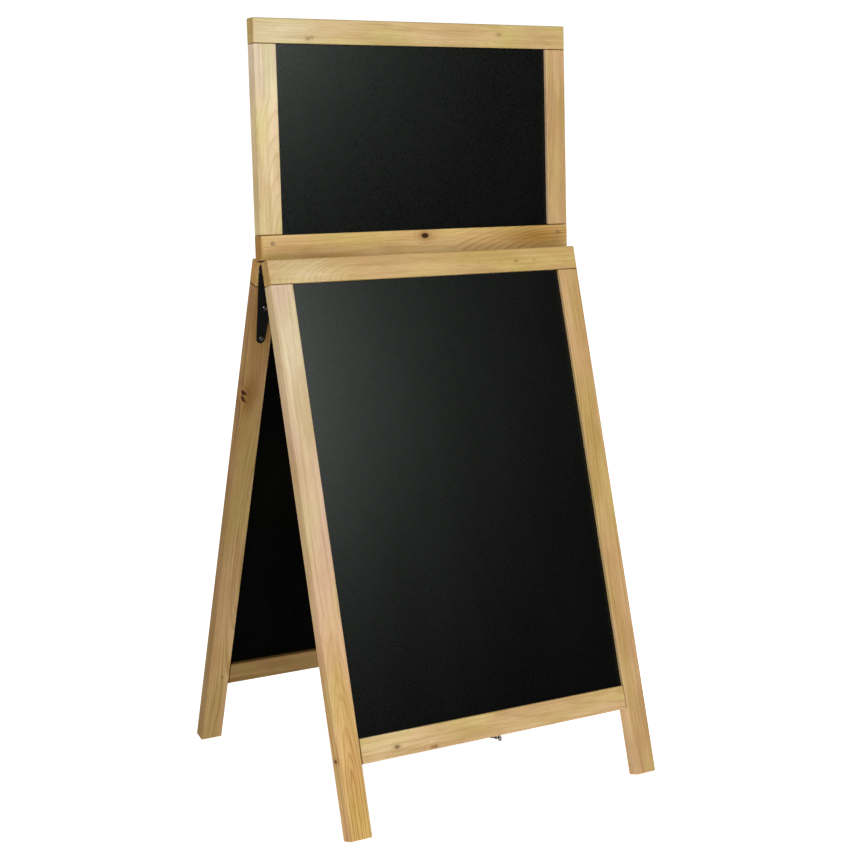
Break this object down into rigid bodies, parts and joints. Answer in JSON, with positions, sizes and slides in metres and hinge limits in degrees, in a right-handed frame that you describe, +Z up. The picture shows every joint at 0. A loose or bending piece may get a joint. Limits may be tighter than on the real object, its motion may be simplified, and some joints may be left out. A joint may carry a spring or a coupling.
{
  "type": "sandwich board",
  "caption": "Folding A-shaped chalk sign: framed black panels hinged along the top, a framed header panel standing above them, and a stay chain between the boards.",
  "frame": {"origin": "on the floor, midway between the front and the rear feet and between the two sides", "axes": "+Z up; +X across the board, to the right as seen from the front; +Y from the front board to the rear board"},
  "size_m": [0.55, 0.532, 1.1637],
  "materials": {
    "front_wood": "clear satin varnish on pale yellow-tan wood",
    "rear_wood": "clear satin varnish on pale yellow-tan wood",
    "header_wood": "clear satin varnish on pale yellow-tan wood",
    "chalk_panel": "matte black chalkboard coating on fibreboard",
    "black_steel": "semi-gloss black enamel",
    "zinc_steel": "bright zinc plating"
  },
  "bodies": {
    "front_board": {"front_bottom_left_pin": "front_wood", "front_bottom_rail": "front_wood", "front_bottom_right_pin": "front_wood", "front_left_stile": "front_wood", "front_panel": "chalk_panel", "front_right_stile": "front_wood", "front_screw_eye": "zinc_steel", "front_top_left_pin": "front_wood", "front_top_rail": "front_wood", "front_top_right_pin": "front_wood", "left_hinge_front_screw_1": "zinc_steel", "left_hinge_front_screw_2": "zinc_steel", "left_hinge_front_screw_3": "zinc_steel", "left_hinge_front_strap": "black_steel", "left_hinge_pin": "black_steel", "right_hinge_front_screw_1": "zinc_steel", "right_hinge_front_screw_2": "zinc_steel", "right_hinge_front_screw_3": "zinc_steel", "right_hinge_front_strap": "black_steel", "right_hinge_pin": "black_steel", "stay_chain": "zinc_steel"},
    "rear_board": {"left_hinge_rear_screw_1": "zinc_steel", "left_hinge_rear_screw_2": "zinc_steel", "left_hinge_rear_screw_3": "zinc_steel", "left_hinge_rear_strap": "black_steel", "rear_bottom_left_pin": "rear_wood", "rear_bottom_rail": "rear_wood", "rear_bottom_right_pin": "rear_wood", "rear_left_stile": "rear_wood", "rear_panel": "chalk_panel", "rear_right_stile": "rear_wood", "rear_screw_eye": "zinc_steel", "rear_top_left_pin": "rear_wood", "rear_top_rail": "rear_wood", "rear_top_right_pin": "rear_wood", "right_hinge_rear_screw_1": "zinc_steel", "right_hinge_rear_screw_2": "zinc_steel", "right_hinge_rear_screw_3": "zinc_steel", "right_hinge_rear_strap": "black_steel"},
    "header": {"header_bottom_left_pin": "header_wood", "header_bottom_rail": "header_wood", "header_bottom_right_pin": "header_wood", "header_left_stile": "header_wood", "header_panel": "chalk_panel", "header_right_stile": "header_wood", "header_top_left_pin": "header_wood", "header_top_rail": "header_wood", "header_top_right_pin": "header_wood", "left_hinge_header_tang": "black_steel", "left_hinge_tang_screw_1": "zinc_steel", "left_hinge_tang_screw_2": "zinc_steel", "right_hinge_header_tang": "black_steel", "right_hinge_tang_screw_1": "zinc_steel", "right_hinge_tang_screw_2": "zinc_steel"}
  },
  "joints": [
    {"name": "fold", "type": "hinge", "parent": "front_board", "child": "rear_board", "pos_m": [0, 0, 0.80012], "axis": [-1, 0, 0], "range_deg": [0, 33.2], "deforming": ["stay_chain"]},
    {"name": "header_tilt", "type": "hinge", "parent": "front_board", "child": "header", "pos_m": [0, 0, 0.80012], "axis": [-1, 0, 0], "range_deg": [0, 13.6]}
  ],
  "couplings": [
    {"joint": "header_tilt", "follows": "fold", "ratio": 0.4096}
  ]
}
